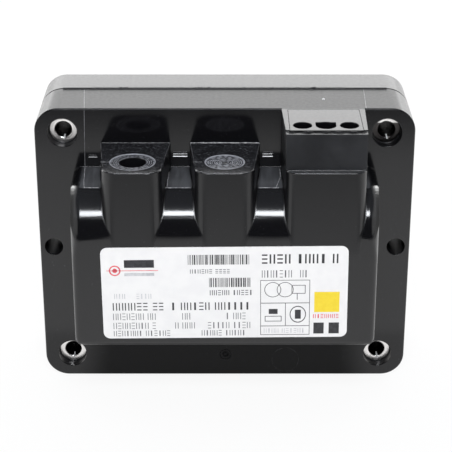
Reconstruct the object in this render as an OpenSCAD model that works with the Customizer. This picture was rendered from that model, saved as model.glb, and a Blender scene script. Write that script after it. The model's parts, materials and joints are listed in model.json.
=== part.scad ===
// Potted ignition transformer in a two-part moulded case, millimetres.
// X runs across the case, Z up towards the terminals, and the case's back face lies on Y = 0.
// The origin is the centre of the four fixing holes on that back face, so the front looks along -Y.
// Heights named *_h are measured up from a level that the case's top edge fixes, through pot_drop.
// As drawn, that level is the case's bottom edge.
// Reaches named *_reach are measured forward from the flange's front face.

/* [Case] */
// Width of the case
case_w = 126.4; // [122:0.2:140]
// Height of the case
case_h = 100; // [99:0.5:110]
// Corner radius of the case outline
case_r = 8; // [7:0.5:12]
// Depth of the front shell's rim, from the flange's front face to the seam
front_rim = 20; // [18:0.5:26]
// Depth of the back shell
back_rim = 15.2; // [13.2:0.4:20]
// Thickness of the sealant between the shells
seam_t = 0.8; // [0.4:0.1:1.5]
// Wall of both shells
wall = 2.5; // [2:0.1:3]
// Thickness of the front flange
flange_t = 3; // [2.5:0.1:4]
// Chamfer round the outer edges of both shells
case_edge = 0.3; // [0.2:0.1:1.2]

/* [Pot] */
// Width of the pot at its front
pot_w = 99.5; // [96:0.5:102]
// How much wider the pot is where it meets the flange
pot_draft = 2; // [0.5:0.5:3]
// Height of the pot's bottom face
pot_low_h = 25.6; // [24:0.2:28]
// Height of the top of the pot's barrel
pot_top_h = 79.5; // [77:0.5:81]
// How far the top of the barrel stays under the case's top edge
pot_drop = 20.5; // [20:0.1:22]
// Reach of the pot's front plane
pot_reach = 27; // [26:0.5:30]
// Radius of the barrel that joins the top to the front
barrel_r = 17; // [14:0.5:19]
// Radius of the pot's lower corners, seen from the front
pot_corner_r = 5.5; // [3:0.5:8]
// Radius of the barrel's shoulders, seen from the front
pot_shoulder_r = 3; // [2:0.5:6]
// Radius of the pot's front edges
pot_edge_r = 2.2; // [0.8:0.2:2.4]

/* [Terminal hoods] */
// Distance of the outlet hood's centre to the left of the middle
outlet_x = 29.7; // [28:0.1:32]
// Width of a hood where it meets the flange
hood_back_w = 23.2; // [21.6:0.2:25]
// Width of a hood at its front
hood_front_w = 18.8; // [18:0.2:21]
// Radius of the hoods' front corners
hood_r = 4.5; // [3:0.5:6]
// Height of the hoods' tops
hood_top_h = 88; // [86:0.5:92]
// Bevel round the hoods' tops
hood_edge = 0.3; // [0.2:0.1:0.8]
// Diameter of the high-voltage socket
hv_bore_d = 8.7; // [7.6:0.1:9.6]
// Depth of the socket's free bore
hv_bore_l = 14; // [10:0.5:16]
// Reach of the socket's axis
hv_reach = 17.4; // [17:0.1:19]
// Diameter of the narrower seat below the free bore
hv_seat_d = 6.5; // [5.8:0.1:7.2]
// Depth of that seat
hv_seat_l = 10; // [7:0.5:11]
// Wall of the chimney round the socket
chimney_wall = 2.2; // [1.8:0.1:2.6]
// Floor of the chimney
chimney_floor = 3; // [2:0.2:4]
// Diameter of the faced spot round the socket
outlet_spot_d = 14.4; // [12:0.2:16]
// Diameter of the spot on the blank hood
blank_spot_d = 12.6; // [10:0.2:15]
// Diameter of the dimple in the middle of the blank hood's spot
blank_dimple_d = 1.6; // [1:0.2:3]
// Depth of both spots
spot_t = 0.2; // [0.1:0.05:0.5]

/* [Mains hood] */
// Distance of the mains hood's centre to the right of the middle
mains_x = 32.4; // [31.6:0.2:33.6]
// Width of the mains hood where it meets the flange
mains_back_w = 27.4; // [27:0.2:29]
// Width of the mains hood at its front
mains_front_w = 25.6; // [25.2:0.2:27]
// Radius of the mains hood's front corners
mains_r = 3.4; // [2:0.2:4.4]
// Reach of the upper block's front face at its foot
block_low_reach = 24.7; // [24.2:0.1:25.6]
// Reach of the upper block's front face at the top
block_top_reach = 22.8; // [22.4:0.1:24]
// Wall in front of the socket insert
block_wall = 1.6; // [1.2:0.1:1.9]
// Wall beside and behind the socket insert
block_side_wall = 1; // [0.8:0.1:1.4]
// How far the front wall's rim stays below the insert's top
block_rim_drop = 0.5; // [0.2:0.1:1]
// Depth of the socket insert
insert_l = 20; // [17:0.5:22]
// Slack round the socket insert
insert_gap = 0.15; // [0.05:0.05:0.3]
// Resin line in front of the socket insert
insert_front_gap = 0.5; // [0.3:0.1:0.8]
// Ledge that the insert sits on
insert_ledge = 1; // [0.6:0.1:1.4]
// Spacing of the three wells
well_pitch = 7.5; // [7.1:0.1:7.7]
// Diameter of the wells
well_d = 6.2; // [5.6:0.1:6.6]
// Width of the middle well, which is square towards the back
well_mid_w = 6.6; // [6:0.1:6.8]
// Distance of the middle well's flat back from its axis
well_flat = 2.9; // [2.2:0.1:3.3]
// Reach of the wells' axes
well_reach = 16; // [15.6:0.1:16.6]
// Depth of the wells' free bore
well_l = 8; // [6:0.5:9]
// Diameter of the narrower seat round each pin
well_seat_d = 5; // [4.2:0.1:5.4]
// Depth of that seat
well_seat_l = 8; // [5:0.5:8]
// Diameter of the contact pins
pin_d = 3; // [2:0.1:3.4]
// Length of the pins' tails below the insert
pin_tail = 4; // [2:0.5:5]

/* [Fixings] */
// Distance of the fixing holes from the case's sides
fix_side = 9.35; // [8.2:0.05:10]
// Distance of the fixing holes from the case's top and bottom
fix_edge = 8.5; // [8.2:0.1:10]
// Bore of the metal eyelets
eyelet_bore = 5.3; // [4.3:0.1:6.5]
// Outer diameter of the eyelets
eyelet_d = 9.2; // [8:0.1:9.6]
// Rounding of the eyelets' mouths
eyelet_lip = 0.6; // [0.3:0.1:0.8]
// Diameter of the recess in front of each eyelet
recess_d = 9.9; // [9.8:0.1:11]
// Depth of that recess
recess_l = 3.4; // [1.5:0.1:5]
// Wall of the bosses round the eyelets
boss_wall = 2.4; // [1.6:0.1:3]
// Slack between the eyelets and the shells
eyelet_gap = 0.05; // [0.02:0.01:0.15]
// Diameter of the plain holes halfway up the sides
side_d = 6.2; // [4:0.1:6.4]
// Distance of those holes from the case's sides
side_in = 4.7; // [4.4:0.1:6]
// Wall of the bosses round those holes
side_wall = 1.6; // [1.2:0.1:2]

/* [Label] */
// Width of the label
label_w = 80.5; // [60:0.5:90]
// Height of the label
label_h = 33.1; // [25:0.1:33.5]
// Thickness of the label
label_t = 0.15; // [0.1:0.05:0.4]
// Corner radius of the label
label_r = 2.3; // [0.5:0.1:5]
// Height of the label's middle
label_mid_h = 45.8; // [45:0.1:46]
// Turn of the label on the case, in degrees
label_turn = 0.5; // [0:0.1:1]

/* [Seam] */
// How far the sealant stays behind the case's sides
seam_inset = 0.3; // [0.1:0.1:0.8]
// Width of the squeezed-out bead along the top
bead_w = 2.2; // [1:0.2:4]
// Height of that bead
bead_t = 0.5; // [0.2:0.1:1]

/* [Core] */
// Height of the core's middle limb
limb = 18; // [14:0.5:19]
// Thickness of the lamination stack
stack_t = 18; // [14:0.5:19]
// Height of the outer limbs and width of the end yokes
yoke = 9; // [7:0.5:10]
// Length of the core's windows
window_l = 66; // [64:0.5:72]
// Slack round the limb inside the bobbins
limb_gap = 0.2; // [0.1:0.05:0.4]
// Slack between the coils and the core's windows
coil_gap = 0.4; // [0.2:0.1:0.8]
// Slack behind the coils
coil_back_gap = 0.3; // [0.2:0.1:0.6]
// Hole for the clamping rivets
rivet_d = 3.2; // [2.4:0.1:4]
// Height of the rivets' domed heads
rivet_head_t = 1.2; // [0.8:0.1:1.6]
// Width of the magnetic shunts
shunt_w = 4.4; // [2:0.2:5]
// Air gap at each end of a shunt
shunt_gap = 0.5; // [0.2:0.1:1]

/* [Windings] */
// Length of the primary bobbin
primary_l = 22; // [16:0.5:24]
// Length of the secondary bobbin
secondary_l = 37.6; // [30:0.2:38]
// Chambers of the secondary bobbin
chambers = 6; // [3:1:8]
// Wall of both bobbins
bobbin_wall = 1.2; // [0.8:0.1:1.6]
// Thickness of the bobbins' end plates
bobbin_end = 1.6; // [1:0.1:2.4]
// Thickness of the plates between chambers
chamber_wall = 0.9; // [0.6:0.1:1.4]
// Build of the windings
winding_t = 6; // [4:0.5:7]
// How far the end plates stand over the windings
plate_over = 0.5; // [0.2:0.1:1]
// Corner radius of the windings
winding_r = 3; // [1:0.5:5]
// Diameter of the insulated leads
lead_d = 1.8; // [1:0.1:2.2]
// How much a lead swells at a bend
bend_swell = 0.1; // [0.05:0.05:0.2]
// Diameter of the high-voltage terminal
terminal_d = 4; // [3:0.1:4.6]
// Thickness of the terminal's collar
collar_t = 1.5; // [1:0.1:2.5]
// Length of the terminal's tail below the chimney
terminal_tail = 3.5; // [2:0.5:5]

/* [Hidden] */
$fn = 64;
// Overlap of pieces that are joined, and overrun of cuts
bite = 1;
// Depth of the bead's root in the ring below it
bead_root = 0.5;

case_d = front_rim + seam_t + back_rim;
flange_y = -case_d;
fix_x = case_w / 2 - fix_side;
fix_z = case_h / 2 - fix_edge;
side_x = case_w / 2 - side_in;
boss_d = max(eyelet_d + 2 * eyelet_gap, recess_d) + 2 * boss_wall;
side_boss_d = side_d + 2 * side_wall;

// Coils and core, centred on the case's middle and set off its back wall
coil_half_z = limb / 2 + limb_gap + bobbin_wall + winding_t + plate_over;
coil_half_y = stack_t / 2 + limb_gap + bobbin_wall + winding_t + plate_over;
window_h = coil_half_z + coil_gap - limb / 2;
core_y = -(wall + coil_back_gap + coil_half_y);
core_half_z = limb / 2 + window_h + yoke;
core_half_x = window_l / 2 + yoke;
secondary_x = -window_l / 2 + coil_gap + secondary_l / 2;
primary_x = window_l / 2 - coil_gap - primary_l / 2;
shunt_x = (secondary_x + secondary_l / 2 + primary_x - primary_l / 2) / 2;
bobbin_half_z = limb / 2 + limb_gap + bobbin_wall;
bobbin_half_y = stack_t / 2 + limb_gap + bobbin_wall;
chamber_l = (secondary_l - 2 * bobbin_end - (chambers - 1) * chamber_wall) / chambers;

// Places of the terminals
hv_y = flange_y - hv_reach;
well_y = flange_y - well_reach;
insert_front = block_top_reach - block_wall;
insert_back = block_side_wall;
case_top_h = pot_top_h + pot_drop;
insert_low_h = case_top_h - insert_l;
pin_top_h = case_top_h - well_l - bite;
pin_low_h = insert_low_h - pin_tail;
hv_floor_h = hood_top_h - hv_bore_l - hv_seat_l;
terminal_top_h = hood_top_h - hv_bore_l - bite;
terminal_low_h = hv_floor_h - chimney_floor - terminal_tail;

function up(h) = case_h / 2 - case_top_h + h;
function unit(v) = v / norm(v);
function steps(r) = max(3, ceil(5 * sqrt(r)));

// Points of an arc that rounds corner p between its neighbours a and b
function corner_arc(a, p, b, r) =
    let (
        u = unit(a - p),
        v = unit(b - p),
        half = acos(u * v) / 2,
        middle = p + unit(u + v) * r / sin(half),
        start = p + u * r / tan(half) - middle,
        end = p + v * r / tan(half) - middle,
        from = atan2(start[1], start[0]),
        turn = (atan2(end[1], end[0]) - from + 540) % 360 - 180,
        n = steps(r)
    )
    [for (i = [0:n]) middle + r * [cos(from + turn * i / n), sin(from + turn * i / n)]];

// Outline through the given points with a radius at each one, where 0 is a sharp corner
function rounded(points, radii) =
    let (n = len(points))
    [for (i = [0:n - 1]) each
        radii[i] > 0
            ? corner_arc(points[(i + n - 1) % n], points[i], points[(i + 1) % n], radii[i])
            : [points[i]]];

function rectangle(w, h) = [[-w, -h] / 2, [w, -h] / 2, [w, h] / 2, [-w, h] / 2];

// Case outline, drawn smaller by an inset
function case_points(inset) =
    let (r = case_r - inset)
    rounded(rectangle(case_w - 2 * inset, case_h - 2 * inset), [r, r, r, r]);

// Extrudes an outline in X and Z from the plane y, forward by l
module forward(y, l) {
    translate([0, y, 0])
        rotate([90, 0, 0])
            linear_extrude(l)
                children();
}

// Extrudes an outline in X and reach from the height h, up by l
module upward(h, l) {
    translate([0, flange_y, up(h)])
        mirror([0, 1, 0])
            linear_extrude(l)
                children();
}

// Extrudes an outline in reach and height sideways, over a width w that is centred on x
module sideways(x, w) {
    translate([x + w / 2, flange_y, up(0)])
        rotate([90, 0, -90])
            linear_extrude(w)
                children();
}

module forward_hole(x, z, d, y, l) {
    translate([x, y, z])
        rotate([90, 0, 0])
            cylinder(d = d, h = l);
}

module at_fixings() {
    for (x = [-fix_x, fix_x], z = [-fix_z, fix_z])
        translate([x, 0, z])
            children();
}

// A slab of the case outline from plane y forward by l, with its front edge bevelled
module case_slab(y, l, bevel) {
    hull() {
        forward(y, l - bevel)
            polygon(case_points(0));
        forward(y, l)
            polygon(case_points(bevel));
    }
}

// The pot, drawn smaller by an inset, starting at a reach that may lie behind the flange
module pot_form(inset, start) {
    front = pot_reach - inset;
    half_front = pot_w / 2 - inset;
    half_start = half_front + pot_draft / 2 * (front - start) / pot_reach;
    low = pot_low_h + inset;
    top = pot_top_h - inset;
    edge = max(pot_edge_r - inset, 0.4);
    corner = max(pot_corner_r - inset, 0.8);
    shoulder = max(pot_shoulder_r - inset, 0.8);
    intersection() {
        sideways(0, case_w)
            polygon(rounded([[start, low], [front, low], [front, top], [start, top]],
                [0, edge, barrel_r - inset, 0]));
        upward(low, top - low)
            polygon(rounded([[-half_start, start], [half_start, start], [half_front, front],
                [-half_front, front]], [0, 0, edge, edge]));
        forward(flange_y - start, front - start)
            polygon(rounded([[-half_start, up(low)], [half_start, up(low)],
                [half_start, up(top)], [-half_start, up(top)]],
                [corner, corner, shoulder, shoulder]));
    }
}

// Plan of a hood that narrows towards its rounded front
function hood_points(x, back_w, front_w, r, inset, start) =
    let (
        front = pot_reach - inset,
        f = front_w / 2 - inset,
        s = f + (back_w - front_w) / 2 * (front - start) / pot_reach,
        c = max(r - inset, 0.6)
    )
    rounded([[x - s, start], [x + s, start], [x + f, front], [x - f, front]], [0, 0, c, c]);

// A hood standing in the pot, with a bevel round its top
module hood_form(x, back_w, front_w, r) {
    foot = pot_top_h - barrel_r - bite;
    hull() {
        upward(foot, hood_top_h - hood_edge - foot)
            polygon(hood_points(x, back_w, front_w, r, 0, -bite));
        upward(foot, hood_top_h - foot)
            polygon(hood_points(x, back_w, front_w, r, hood_edge, -bite));
    }
}

// The space inside a hood, closed by a wall under its top
module hood_space(x, back_w, front_w, r, top) {
    foot = pot_top_h - barrel_r - bite;
    upward(foot, top - foot)
        polygon(hood_points(x, back_w, front_w, r, wall, -flange_t - bite));
}

// The upper block of the mains hood, whose front leans back
module block_form() {
    foot = hood_top_h - bite;
    lean = (block_low_reach - block_top_reach) / (case_top_h - hood_top_h);
    intersection() {
        sideways(mains_x, mains_back_w + 2 * bite)
            polygon([[-bite, foot], [block_low_reach + lean * bite, foot],
                [block_top_reach, case_top_h], [-bite, case_top_h]]);
        upward(foot, case_top_h - foot)
            polygon(hood_points(mains_x, mains_back_w, mains_front_w, mains_r, 0, -bite));
    }
}

// Plan of the pocket for the socket insert, drawn smaller by an inset and shorter at its front
function pocket_points(inset, front_cut) =
    let (
        half = mains_front_w / 2 - block_side_wall - inset,
        back = insert_back + inset,
        front = insert_front - inset - front_cut
    )
    [[mains_x - half, back], [mains_x + half, back], [mains_x + half, front],
        [mains_x - half, front]];

module chimney() {
    low = hv_floor_h - chimney_floor;
    translate([-outlet_x, hv_y, up(low)])
        cylinder(d = hv_bore_d + 2 * chimney_wall, h = hood_top_h - low - wall / 2);
}

// Bosses round the fixing holes and the side holes, between two planes and inside the case
module bosses(y, l) {
    intersection() {
        union() {
            at_fixings()
                forward_hole(0, 0, boss_d, y, l);
            for (x = [-side_x, side_x])
                forward_hole(x, 0, side_boss_d, y, l);
        }
        forward(y, l)
            polygon(case_points(wall / 2));
    }
}

// The hollow of the front shell, from the seam forward, that the resin fills
module front_space() {
    difference() {
        union() {
            forward(-back_rim, seam_t + front_rim - flange_t)
                polygon(case_points(wall));
            pot_form(wall, -flange_t - bite);
            for (x = [-outlet_x, 0])
                hood_space(x, hood_back_w, hood_front_w, hood_r, hood_top_h - wall);
            hood_space(mains_x, mains_back_w, mains_front_w, mains_r, insert_low_h - wall / 2);
            upward(insert_low_h - wall, wall)
                polygon(pocket_points(insert_ledge, 0));
        }
        bosses(-back_rim, case_d - back_rim - flange_t + bite);
        chimney();
    }
}

// The hollow of the back shell
module back_space() {
    difference() {
        forward(-wall, back_rim - wall)
            polygon(case_points(wall));
        bosses(-wall + bite, back_rim - wall + bite);
    }
}

// Everything that is sealed in the resin
module sealed_pieces() {
    core_e_stack();
    core_i_stack();
    core_rivets();
    upper_shunt();
    lower_shunt();
    primary_bobbin();
    primary_winding();
    secondary_bobbin();
    secondary_winding();
    line_lead();
    neutral_lead();
    earth_lead();
    secondary_earth_lead();
    hv_lead();
    line_pin();
    neutral_pin();
    earth_pin();
    hv_terminal();
}

module through_holes(eyelet_hole_d) {
    at_fixings()
        forward_hole(0, 0, eyelet_hole_d, bite, case_d + 2 * bite);
    for (x = [-side_x, side_x])
        forward_hole(x, 0, side_d, bite, case_d + 2 * bite);
}

module front_shell() {
    color([0.07, 0.07, 0.075])
        difference() {
            union() {
                case_slab(-back_rim - seam_t, front_rim, case_edge);
                pot_form(0, -bite);
                for (x = [-outlet_x, 0])
                    hood_form(x, hood_back_w, hood_front_w, hood_r);
                hood_form(mains_x, mains_back_w, mains_front_w, mains_r);
                block_form();
            }
            difference() {
                front_space();
                forward(-back_rim + bite, bite + seam_t)
                    square([case_w, case_h], center = true);
            }
            through_holes(eyelet_d + 2 * eyelet_gap);
            at_fixings()
                forward_hole(0, 0, recess_d, flange_y + recess_l, recess_l + bite);
            upward(insert_low_h, insert_l + bite)
                polygon(pocket_points(0, 0));
            upward(case_top_h - block_rim_drop, block_rim_drop + bite)
                translate([mains_x - mains_back_w, insert_front - bite])
                    square([2 * mains_back_w, block_wall + 2 * bite]);
            hv_socket();
            translate([-outlet_x, hv_y, up(hood_top_h) - spot_t])
                cylinder(d = outlet_spot_d, h = spot_t + bite);
            blank_spot();
        }
}

// Free bore, narrower seat and terminal hole of the high-voltage socket
module hv_socket() {
    translate([-outlet_x, hv_y, up(hood_top_h)]) {
        translate([0, 0, -hv_bore_l])
            cylinder(d = hv_bore_d, h = hv_bore_l + bite);
        translate([0, 0, -hv_bore_l - hv_seat_l])
            cylinder(d = hv_seat_d, h = hv_seat_l + bite);
        translate([0, 0, -hv_bore_l - hv_seat_l - chimney_floor - bite])
            cylinder(d = terminal_d, h = chimney_floor + 2 * bite);
    }
}

module blank_spot() {
    translate([0, hv_y, up(hood_top_h) - spot_t]) {
        cylinder(d = blank_spot_d, h = spot_t + bite);
        translate([0, 0, -spot_t])
            cylinder(d = blank_dimple_d, h = 2 * spot_t);
    }
}

module back_shell() {
    color([0.07, 0.07, 0.075])
        difference() {
            mirror([0, 1, 0])
                case_slab(back_rim, back_rim, case_edge);
            back_space();
            through_holes(eyelet_d + 2 * eyelet_gap);
        }
}

// Ring between the shells, and the bead that was squeezed out along the top
module seam_sealant() {
    color([0.03, 0.03, 0.03]) {
        difference() {
            forward(-back_rim, seam_t)
                polygon(case_points(seam_inset));
            forward(-back_rim + bite, seam_t + 2 * bite)
                polygon(case_points(wall));
        }
        seam_bead();
    }
}

module seam_bead() {
    straight = case_w - 2 * case_r;
    translate([-straight / 2, -back_rim - seam_t / 2, case_h / 2])
        rotate([90, 0, 90])
            linear_extrude(straight) {
                polygon([for (a = [0:15:180]) [bead_w / 2 * cos(a), bead_t * sin(a)]]);
                translate([-seam_t / 2, -seam_inset - bead_root])
                    square([seam_t, seam_inset + bead_root + bead_t / 2]);
            }
}

module label() {
    color([0.95, 0.95, 0.94])
        translate([0, flange_y - pot_reach, up(label_mid_h)])
            rotate([0, -label_turn, 0])
                forward(0, label_t)
                    polygon(rounded(rectangle(label_w, label_h), [for (i = [0:3]) label_r]));
}

// Metal bush that carries one fixing screw through the case
module eyelet(x, z) {
    long = case_d - recess_l;
    outer = eyelet_d / 2;
    inner = eyelet_bore / 2;
    color([0.75, 0.76, 0.78])
        translate([x, 0, z])
            rotate([90, 0, 0])
                rotate_extrude($fn = 96)
                    polygon(concat(
                        [[inner, 0], [outer, 0], [outer, long]],
                        [for (a = [0:15:90])
                            [inner + eyelet_lip * (1 - sin(a)), long - eyelet_lip * (1 - cos(a))]]
                    ));
}

module eyelet_top_left() { eyelet(-fix_x, fix_z); }
module eyelet_top_right() { eyelet(fix_x, fix_z); }
module eyelet_bottom_left() { eyelet(-fix_x, -fix_z); }
module eyelet_bottom_right() { eyelet(fix_x, -fix_z); }

// Moulded insert with three wells, the middle one squared towards the back
module mains_socket_insert() {
    color([0.09, 0.09, 0.095])
        difference() {
            upward(insert_low_h, insert_l)
                polygon(pocket_points(insert_gap, insert_front_gap));
            for (i = [-1, 1])
                well(mains_x + i * well_pitch, well_d);
            well(mains_x, well_mid_w);
            translate([mains_x - well_mid_w / 2, well_y, up(case_top_h) - well_l])
                cube([well_mid_w, well_flat, well_l + bite]);
        }
}

// One well of the insert: a free bore, a seat and the hole of the pin
module well(x, d) {
    translate([x, well_y, up(case_top_h)]) {
        translate([0, 0, -well_l])
            cylinder(d = d, h = well_l + bite);
        translate([0, 0, -well_l - well_seat_l])
            cylinder(d = well_seat_d, h = well_seat_l + bite);
        translate([0, 0, -insert_l - bite])
            cylinder(d = pin_d, h = insert_l);
    }
}

// Round contact pin with a domed tip
module contact_pin(x) {
    length = pin_top_h - pin_low_h - pin_d / 2;
    color([0.8, 0.68, 0.4])
        translate([x, well_y, up(pin_low_h)]) {
            cylinder(d = pin_d, h = length);
            translate([0, 0, length])
                sphere(d = pin_d);
        }
}

module line_pin() { contact_pin(mains_x - well_pitch); }
module earth_pin() { contact_pin(mains_x); }
module neutral_pin() { contact_pin(mains_x + well_pitch); }

// Turned terminal with a collar that sits on the chimney's floor
module hv_terminal() {
    tip = terminal_d / 2;
    color([0.8, 0.68, 0.4])
        translate([-outlet_x, hv_y, 0]) {
            translate([0, 0, up(terminal_low_h)])
                cylinder(d = terminal_d, h = terminal_top_h - terminal_low_h - tip);
            translate([0, 0, up(terminal_top_h) - tip])
                sphere(r = tip);
            translate([0, 0, up(hv_floor_h)])
                cylinder(d = hv_seat_d - 2 * eyelet_gap, h = collar_t);
        }
}

// Block of laminations in X and Z, as thick as the stack
module laminations(x, z, w, h) {
    translate([x - w / 2, core_y - stack_t / 2, z - h / 2])
        cube([w, stack_t, h]);
}

module rivet_places() {
    for (x = [-1, 1], z = [-1, 1])
        translate([x * (core_half_x - yoke / 2), core_y, z * (core_half_z - yoke / 2)])
            rotate([90, 0, 0])
                children();
}

module rivet_holes() {
    rivet_places()
        cylinder(d = rivet_d, h = stack_t + 2 * bite, center = true);
}

// The E-shaped stack, whose open end faces the secondary's side
module core_e_stack() {
    limb_z = core_half_z - yoke / 2;
    color([0.45, 0.46, 0.48])
        difference() {
            union() {
                laminations(core_half_x - yoke / 2, 0, yoke, 2 * core_half_z);
                laminations(yoke / 2, 0, 2 * core_half_x - yoke, limb);
                for (z = [-limb_z, limb_z])
                    laminations(yoke / 2, z, 2 * core_half_x - yoke, yoke);
            }
            rivet_holes();
        }
}

module core_i_stack() {
    color([0.45, 0.46, 0.48])
        difference() {
            laminations(-core_half_x + yoke / 2, 0, yoke, 2 * core_half_z);
            rivet_holes();
        }
}

module core_rivets() {
    color([0.7, 0.7, 0.72])
        rivet_places() {
            cylinder(d = rivet_d, h = stack_t, center = true);
            for (side = [-1, 1])
                mirror([0, 0, side < 0 ? 1 : 0])
                    translate([0, 0, stack_t / 2])
                        cylinder(d1 = 2 * rivet_d, d2 = rivet_d, h = rivet_head_t);
        }
}

module shunt(z) {
    color([0.5, 0.5, 0.52])
        laminations(shunt_x, z, shunt_w, window_h - 2 * shunt_gap);
}

module upper_shunt() { shunt(limb / 2 + window_h / 2); }
module lower_shunt() { shunt(-limb / 2 - window_h / 2); }

// A square sleeve, or a plate when it is short, round the middle limb
module round_limb(x, l, half_y, half_z, r, hole_y, hole_z, hole_r = 0) {
    translate([x - l / 2, core_y, 0])
        rotate([90, 0, 90])
            linear_extrude(l)
                difference() {
                    polygon(rounded(rectangle(2 * half_y, 2 * half_z), [r, r, r, r]));
                    polygon(rounded(rectangle(2 * hole_y, 2 * hole_z),
                        [hole_r, hole_r, hole_r, hole_r]));
                }
}

module bobbin(x, l, plates) {
    over = winding_t + plate_over;
    free_y = stack_t / 2 + limb_gap;
    free_z = limb / 2 + limb_gap;
    round_limb(x, l, bobbin_half_y, bobbin_half_z, bobbin_wall, free_y, free_z);
    for (p = plates)
        round_limb(x - l / 2 + p[0] + p[1] / 2, p[1], bobbin_half_y + over,
            bobbin_half_z + over, winding_r, free_y, free_z);
}

module winding(x, l) {
    round_limb(x, l, bobbin_half_y + winding_t, bobbin_half_z + winding_t, winding_r,
        bobbin_half_y, bobbin_half_z, bobbin_wall);
}

module primary_bobbin() {
    color([0.85, 0.83, 0.75])
        bobbin(primary_x, primary_l, [[0, bobbin_end], [primary_l - bobbin_end, bobbin_end]]);
}

module primary_winding() {
    color([0.72, 0.4, 0.2])
        winding(primary_x, primary_l - 2 * bobbin_end);
}

module secondary_bobbin() {
    inner = [for (i = [1:chambers - 1])
        [bobbin_end + i * chamber_l + (i - 1) * chamber_wall, chamber_wall]];
    ends = [[0, bobbin_end], [secondary_l - bobbin_end, bobbin_end]];
    color([0.85, 0.83, 0.75])
        bobbin(secondary_x, secondary_l, concat(ends, inner));
}

// Start of the chamber with the given number along the secondary bobbin
function chamber_start(i) =
    secondary_x - secondary_l / 2 + bobbin_end + i * (chamber_l + chamber_wall);

module secondary_winding() {
    color([0.62, 0.3, 0.16])
        for (i = [0:chambers - 1])
            winding(chamber_start(i) + chamber_l / 2, chamber_l);
}

// Insulated lead through the given points
module lead(points) {
    for (i = [0:len(points) - 2]) {
        run = points[i + 1] - points[i];
        translate(points[i])
            rotate([0, acos(run[2] / norm(run)), atan2(run[1], run[0])])
                cylinder(d = lead_d, h = norm(run));
    }
    for (i = [1:1:len(points) - 2])
        translate(points[i])
            sphere(d = lead_d + bend_swell);
}

// Front and top of the windings, where the leads end
winding_front_y = core_y - bobbin_half_y - winding_t;
bend_y = core_y - coil_half_y - lead_d;

module pin_lead(pin_x, coil_x) {
    lead([
        [pin_x, well_y, up(pin_low_h)],
        [pin_x, well_y, up(pin_low_h) - 2 * lead_d],
        [coil_x, bend_y, bobbin_half_z],
        [coil_x, winding_front_y, bobbin_half_z]
    ]);
}

module line_lead() {
    color([0.4, 0.25, 0.12])
        pin_lead(mains_x - well_pitch, primary_x - primary_l / 4);
}

module neutral_lead() {
    color([0.15, 0.3, 0.7])
        pin_lead(mains_x + well_pitch, primary_x + primary_l / 4);
}

// From the earth pin over the coil to the front of the core's end yoke
module earth_lead() {
    core_front = core_y - stack_t / 2;
    color([0.3, 0.6, 0.2])
        lead([
            [mains_x, well_y, up(pin_low_h)],
            [mains_x, well_y, up(pin_low_h) - lead_d],
            [core_half_x - yoke / 2, core_front - 2 * lead_d, core_half_z - 1.5 * yoke],
            [core_half_x - yoke / 2, core_front, core_half_z - 1.5 * yoke]
        ]);
}

// From the secondary's inner end plate to the core, which makes one pole earthed
module secondary_earth_lead() {
    x = chamber_start(chambers - 1) + chamber_l / 2;
    front = core_y - stack_t / 2;
    color([0.3, 0.6, 0.2])
        lead([
            [x, winding_front_y, bobbin_half_z],
            [x, bend_y, bobbin_half_z],
            [x, bend_y, core_half_z - yoke / 2],
            [x, front, core_half_z - yoke / 2]
        ]);
}

module hv_lead() {
    color([0.8, 0.8, 0.8])
        lead([
            [-outlet_x, hv_y, up(terminal_low_h)],
            [-outlet_x, hv_y, up(terminal_low_h) - lead_d],
            [chamber_start(0) + chamber_l / 2, bend_y, 0],
            [chamber_start(0) + chamber_l / 2, winding_front_y, 0]
        ]);
}

module potting_resin() {
    color([0.05, 0.05, 0.05])
        difference() {
            union() {
                front_space();
                back_space();
            }
            sealed_pieces();
            through_holes(eyelet_d + 2 * eyelet_gap);
        }
}

front_shell();
back_shell();
seam_sealant();
label();
mains_socket_insert();
eyelet_top_left();
eyelet_top_right();
eyelet_bottom_left();
eyelet_bottom_right();
line_pin();
earth_pin();
neutral_pin();
hv_terminal();
core_e_stack();
core_i_stack();
core_rivets();
upper_shunt();
lower_shunt();
primary_bobbin();
primary_winding();
secondary_bobbin();
secondary_winding();
line_lead();
neutral_lead();
earth_lead();
secondary_earth_lead();
hv_lead();
potting_resin();
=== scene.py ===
"""Looks of a potted ignition transformer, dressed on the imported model."""

import json
import math
import random

import bpy
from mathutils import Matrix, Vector


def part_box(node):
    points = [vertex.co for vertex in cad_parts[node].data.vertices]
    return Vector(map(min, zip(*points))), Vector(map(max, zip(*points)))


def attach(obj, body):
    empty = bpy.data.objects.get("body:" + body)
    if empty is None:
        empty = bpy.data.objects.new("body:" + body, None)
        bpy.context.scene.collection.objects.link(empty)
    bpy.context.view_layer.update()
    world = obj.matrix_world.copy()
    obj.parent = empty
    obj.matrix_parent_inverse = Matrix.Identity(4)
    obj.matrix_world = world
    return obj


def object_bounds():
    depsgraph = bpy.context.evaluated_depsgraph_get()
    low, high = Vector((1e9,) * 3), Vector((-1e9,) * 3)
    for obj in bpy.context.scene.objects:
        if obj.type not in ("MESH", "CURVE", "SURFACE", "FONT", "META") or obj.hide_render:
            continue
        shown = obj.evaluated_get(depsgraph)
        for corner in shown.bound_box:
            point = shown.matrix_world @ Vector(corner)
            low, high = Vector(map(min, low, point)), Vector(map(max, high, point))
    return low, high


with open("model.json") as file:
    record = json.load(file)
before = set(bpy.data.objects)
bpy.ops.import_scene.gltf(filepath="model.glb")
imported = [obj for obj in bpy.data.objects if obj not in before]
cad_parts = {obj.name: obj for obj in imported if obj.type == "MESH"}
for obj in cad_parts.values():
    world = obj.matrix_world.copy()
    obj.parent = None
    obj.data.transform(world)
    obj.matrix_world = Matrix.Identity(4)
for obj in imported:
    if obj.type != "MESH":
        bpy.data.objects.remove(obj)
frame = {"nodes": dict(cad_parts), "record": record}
nodes = frame["nodes"]


def plain(bounds):
    """Bounds as plain lists of numbers."""
    return [[float(v) for v in corner] for corner in bounds]


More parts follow.
